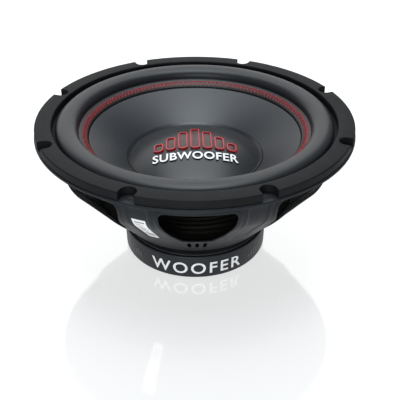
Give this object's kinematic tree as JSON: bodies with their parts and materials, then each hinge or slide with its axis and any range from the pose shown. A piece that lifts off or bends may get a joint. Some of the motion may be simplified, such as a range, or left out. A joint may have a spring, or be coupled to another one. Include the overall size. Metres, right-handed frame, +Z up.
{
  "type": "car subwoofer speaker",
  "caption": "Round twelve-inch car subwoofer driver: windowed steel basket, notched gasket, foam surround, sliding cone with dust cap, booted magnet and push terminals.",
  "frame": {"origin": "centre of the magnet boot's underside, on the surface the driver stands on", "axes": "+Z up along the cone's travel, -Y to the driver's front where the data label's spoke is left of centre, +X to the right seen from the front"},
  "size_m": [0.3166, 0.3166, 0.147],
  "materials": {
    "basket_paint": "satin dark grey enamel",
    "gasket_foam": "matt fine-grained foam rubber",
    "surround_foam": "satin moulded foam",
    "cone_pulp": "satin coated pulp",
    "cap_plastic": "satin moulded",
    "motor_steel": "black passivated",
    "ferrite": "sintered matt",
    "boot_rubber": "matt moulded rubber",
    "bright_metal": "zinc plated",
    "label_vinyl": "printed vinyl",
    "former_aluminium": "bare sheet",
    "winding_copper": "lacquered wire",
    "spider_cloth": "resin-stiffened weave",
    "red_plastic": "satin moulded",
    "black_plastic": "satin moulded",
    "lead_braid": "braided tinsel wire"
  },
  "bodies": {
    "frame": {"basket": "basket_paint", "mounting_gasket": "gasket_foam", "top_plate": "motor_steel", "magnet": "ferrite", "t_yoke": "motor_steel", "magnet_boot": "boot_rubber", "vent_screen": "bright_metal", "data_label": "label_vinyl", "plate_rivet_1": "bright_metal", "plate_rivet_2": "bright_metal", "plate_rivet_3": "bright_metal", "plate_rivet_4": "bright_metal", "terminal_housing_left": "black_plastic", "terminal_rivet_left_1": "bright_metal", "terminal_rivet_left_2": "bright_metal", "solder_tag_red_left": "bright_metal", "solder_tag_black_left": "bright_metal", "button_spring_red_left": "bright_metal", "button_spring_black_left": "bright_metal", "tinsel_lead_red_left": "lead_braid", "tinsel_lead_black_left": "lead_braid", "terminal_housing_right": "black_plastic", "terminal_rivet_right_1": "bright_metal", "terminal_rivet_right_2": "bright_metal", "solder_tag_red_right": "bright_metal", "solder_tag_black_right": "bright_metal", "button_spring_red_right": "bright_metal", "button_spring_black_right": "bright_metal", "tinsel_lead_red_right": "lead_braid", "tinsel_lead_black_right": "lead_braid"},
    "cone_assembly": {"cone": "cone_pulp", "dust_cap": "cap_plastic", "voice_coil_former": "former_aluminium", "voice_coil_inner": "winding_copper", "voice_coil_outer": "winding_copper", "surround": "surround_foam", "spider": "spider_cloth"},
    "button_red_left": {"button_red_left": "red_plastic"},
    "button_black_left": {"button_black_left": "black_plastic"},
    "button_red_right": {"button_red_right": "red_plastic"},
    "button_black_right": {"button_black_right": "black_plastic"}
  },
  "joints": [
    {"name": "cone_travel", "type": "slide", "parent": "frame", "child": "cone_assembly", "axis": [0, 0, 1], "range_m": [-0.009, 0.009], "stiffness_N_per_m": 4200, "deforming": ["surround", "spider", "tinsel_lead_red_left", "tinsel_lead_black_left", "tinsel_lead_red_right", "tinsel_lead_black_right"]},
    {"name": "press_red_left", "type": "slide", "parent": "frame", "child": "button_red_left", "axis": [0.2839, -0.6853, 0.6707], "range_m": [0, 0.003], "stiffness_N_per_m": 700, "springref_m": -0.001, "deforming": ["button_spring_red_left"]},
    {"name": "press_black_left", "type": "slide", "parent": "frame", "child": "button_black_left", "axis": [0.2839, -0.6853, 0.6707], "range_m": [0, 0.003], "stiffness_N_per_m": 700, "springref_m": -0.001, "deforming": ["button_spring_black_left"]},
    {"name": "press_red_right", "type": "slide", "parent": "frame", "child": "button_red_right", "axis": [-0.2839, -0.6853, 0.6707], "range_m": [0, 0.003], "stiffness_N_per_m": 700, "springref_m": -0.001, "deforming": ["button_spring_red_right"]},
    {"name": "press_black_right", "type": "slide", "parent": "frame", "child": "button_black_right", "axis": [-0.2839, -0.6853, 0.6707], "range_m": [0, 0.003], "stiffness_N_per_m": 700, "springref_m": -0.001, "deforming": ["button_spring_black_right"]}
  ]
}
